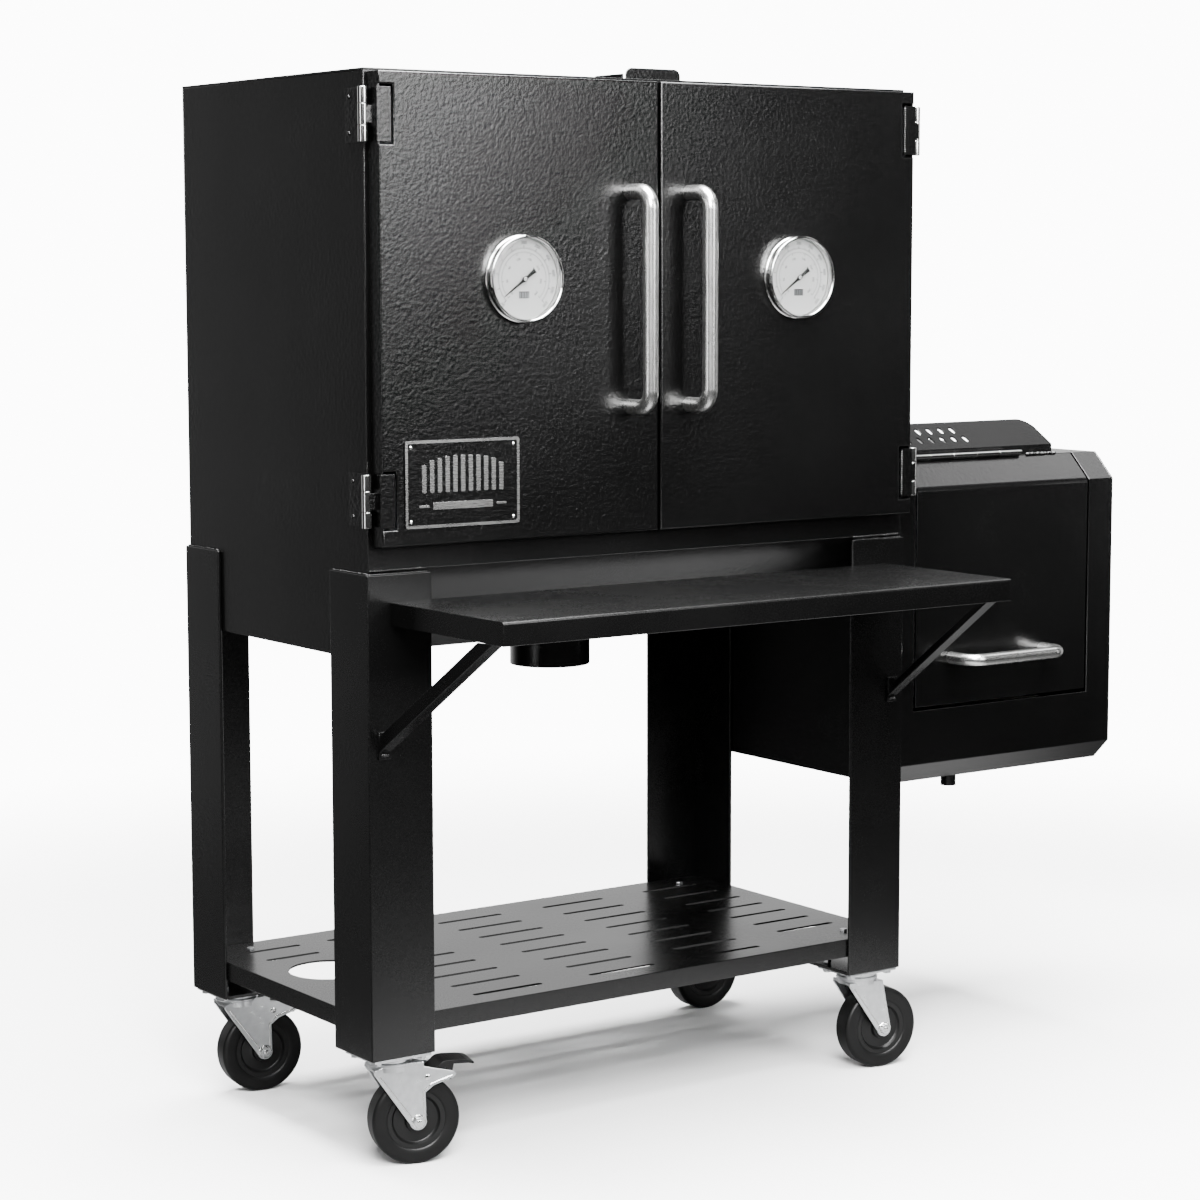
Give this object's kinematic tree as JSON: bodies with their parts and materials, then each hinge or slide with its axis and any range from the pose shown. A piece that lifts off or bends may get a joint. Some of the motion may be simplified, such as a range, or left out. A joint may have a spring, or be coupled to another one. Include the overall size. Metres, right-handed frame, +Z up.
{
  "type": "offset smoker",
  "caption": "Two-door smoking cabinet on a wheeled leg frame with slotted bottom shelf, fixed front shelf and a side firebox with a lift-up door.",
  "frame": {"origin": "on the floor, under the middle of the whole smoker's box", "axes": "+X to the right as seen from the front, where the firebox is; +Y to the back; +Z up"},
  "size_m": [1.4355, 0.806, 1.5385],
  "materials": {
    "black_powder_coat": "fine orange-peel powder coat, semi-gloss",
    "badge_plate": "black with a raised bare-metal border",
    "gasket_rope": "flat woven fibreglass",
    "galvanised_steel": "plain sheet and bar",
    "bare_steel": "mill finish",
    "zinc_plate": "bright zinc plate",
    "brushed_stainless": "satin brushed",
    "polished_stainless": "polished",
    "dial_glass": "clear",
    "pointer_black": "matt",
    "grate_iron": "rough",
    "wheel_rubber": "satin hard rubber",
    "pedal_plastic": "ribbed"
  },
  "bodies": {
    "smoker": {"cabinet_left_wall": "black_powder_coat", "cabinet_right_wall": "black_powder_coat", "cabinet_back_wall": "black_powder_coat", "cabinet_roof": "black_powder_coat", "cabinet_floor": "black_powder_coat", "cabinet_front_frame": "black_powder_coat", "door_gasket": "gasket_rope", "rack_rails": "galvanised_steel", "cooking_racks": "galvanised_steel", "water_pan": "galvanised_steel", "drain_outlets": "black_powder_coat", "damper_guides": "black_powder_coat", "leg_front_left": "black_powder_coat", "leg_front_right": "black_powder_coat", "leg_rear_left": "black_powder_coat", "leg_rear_right": "black_powder_coat", "leg_base_plates": "black_powder_coat", "bottom_shelf": "black_powder_coat", "front_shelf": "black_powder_coat", "shelf_braces": "black_powder_coat", "bolts": "zinc_plate", "cabinet_hinges": "bare_steel", "firebox_left_wall": "black_powder_coat", "firebox_right_wall": "black_powder_coat", "firebox_wrapper": "black_powder_coat", "firebox_front_frame": "black_powder_coat", "rest_plate": "black_powder_coat", "fire_grate": "grate_iron", "caster_plates": "zinc_plate"},
    "left_door": {"left_door_skin": "black_powder_coat", "left_door_liner": "galvanised_steel", "left_door_hinges": "black_powder_coat", "left_handle": "brushed_stainless", "left_thermometer": "polished_stainless", "left_glass": "dial_glass", "badge": "badge_plate"},
    "left_needle": {"left_pointer": "pointer_black"},
    "right_door": {"right_door_skin": "black_powder_coat", "right_door_liner": "galvanised_steel", "right_door_hinges": "black_powder_coat", "right_handle": "brushed_stainless", "right_thermometer": "polished_stainless", "right_glass": "dial_glass"},
    "right_needle": {"right_pointer": "pointer_black"},
    "exhaust_slide": {"exhaust_damper": "black_powder_coat"},
    "air_slide": {"air_damper": "black_powder_coat"},
    "firebox_door": {"firebox_door_skin": "black_powder_coat", "firebox_door_liner": "galvanised_steel", "firebox_door_hinge": "black_powder_coat", "firebox_handle": "brushed_stainless"},
    "swivel_front_left": {"fork_front_left": "zinc_plate"},
    "roller_front_left": {"wheel_front_left": "wheel_rubber"},
    "swivel_front_right": {"fork_front_right": "zinc_plate"},
    "roller_front_right": {"wheel_front_right": "wheel_rubber"},
    "swivel_rear_left": {"fork_rear_left": "zinc_plate"},
    "roller_rear_left": {"wheel_rear_left": "wheel_rubber"},
    "swivel_rear_right": {"fork_rear_right": "zinc_plate"},
    "roller_rear_right": {"wheel_rear_right": "wheel_rubber"},
    "brake_front_left": {"pedal_front_left": "pedal_plastic"},
    "brake_rear_left": {"pedal_rear_left": "pedal_plastic"}
  },
  "joints": [
    {"name": "left_door_hinge", "type": "hinge", "parent": "smoker", "child": "left_door", "pos_m": [-0.71125, -0.136, 1.19], "axis": [0, 0, -1], "range_deg": [0, 180]},
    {"name": "right_door_hinge", "type": "hinge", "parent": "smoker", "child": "right_door", "pos_m": [0.25275, -0.136, 1.19], "axis": [0, 0, 1], "range_deg": [0, 140]},
    {"name": "left_needle_turn", "type": "hinge", "parent": "left_door", "child": "left_needle", "pos_m": [-0.47025, -0.16, 1.229], "axis": [0, 1, 0], "range_deg": [0, 270]},
    {"name": "right_needle_turn", "type": "hinge", "parent": "right_door", "child": "right_needle", "pos_m": [0.01175, -0.16, 1.229], "axis": [0, 1, 0], "range_deg": [0, 270]},
    {"name": "firebox_door_hinge", "type": "hinge", "parent": "smoker", "child": "firebox_door", "pos_m": [0.44975, -0.074, 0.949], "axis": [-1, 0, 0], "range_deg": [0, 200]},
    {"name": "exhaust_slide", "type": "slide", "parent": "smoker", "child": "exhaust_slide", "axis": [0, -1, 0], "range_m": [0, 0.05]},
    {"name": "air_slide", "type": "slide", "parent": "smoker", "child": "air_slide", "axis": [0, -1, 0], "range_m": [0, 0.08]},
    {"name": "swivel_front_left", "type": "hinge", "parent": "smoker", "child": "swivel_front_left", "pos_m": [-0.65425, -0.083, 0.145], "axis": [0, 0, 1], "continuous": true},
    {"name": "roll_front_left", "type": "hinge", "parent": "swivel_front_left", "child": "roller_front_left", "pos_m": [-0.62044, -0.09206, 0.0635], "axis": [0.2588, 0.9659, 0], "continuous": true},
    {"name": "swivel_front_right", "type": "hinge", "parent": "smoker", "child": "swivel_front_right", "pos_m": [0.19575, -0.083, 0.145], "axis": [0, 0, 1], "continuous": true},
    {"name": "roll_front_right", "type": "hinge", "parent": "swivel_front_right", "child": "roller_front_right", "pos_m": [0.23041, -0.08787, 0.0635], "axis": [0.1392, 0.9903, 0], "continuous": true},
    {"name": "swivel_rear_left", "type": "hinge", "parent": "smoker", "child": "swivel_rear_left", "pos_m": [-0.65425, 0.361, 0.145], "axis": [0, 0, 1], "continuous": true},
    {"name": "roll_rear_left", "type": "hinge", "parent": "swivel_rear_left", "child": "roller_rear_left", "pos_m": [-0.61959, 0.35613, 0.0635], "axis": [0.1392, 0.9903, 0], "continuous": true},
    {"name": "swivel_rear_right", "type": "hinge", "parent": "smoker", "child": "swivel_rear_right", "pos_m": [0.19575, 0.361, 0.145], "axis": [0, 0, 1], "continuous": true},
    {"name": "roll_rear_right", "type": "hinge", "parent": "swivel_rear_right", "child": "roller_rear_right", "pos_m": [0.23075, 0.361, 0.0635], "axis": [0, 1, 0], "continuous": true},
    {"name": "brake_front_left", "type": "hinge", "parent": "swivel_front_left", "child": "brake_front_left", "pos_m": [-0.59436, -0.09905, 0.128], "axis": [0.2588, 0.9659, 0], "range_deg": [0, 15]},
    {"name": "brake_rear_left", "type": "hinge", "parent": "swivel_rear_left", "child": "brake_rear_left", "pos_m": [-0.59285, 0.35237, 0.128], "axis": [0.1392, 0.9903, 0], "range_deg": [0, 15]}
  ]
}
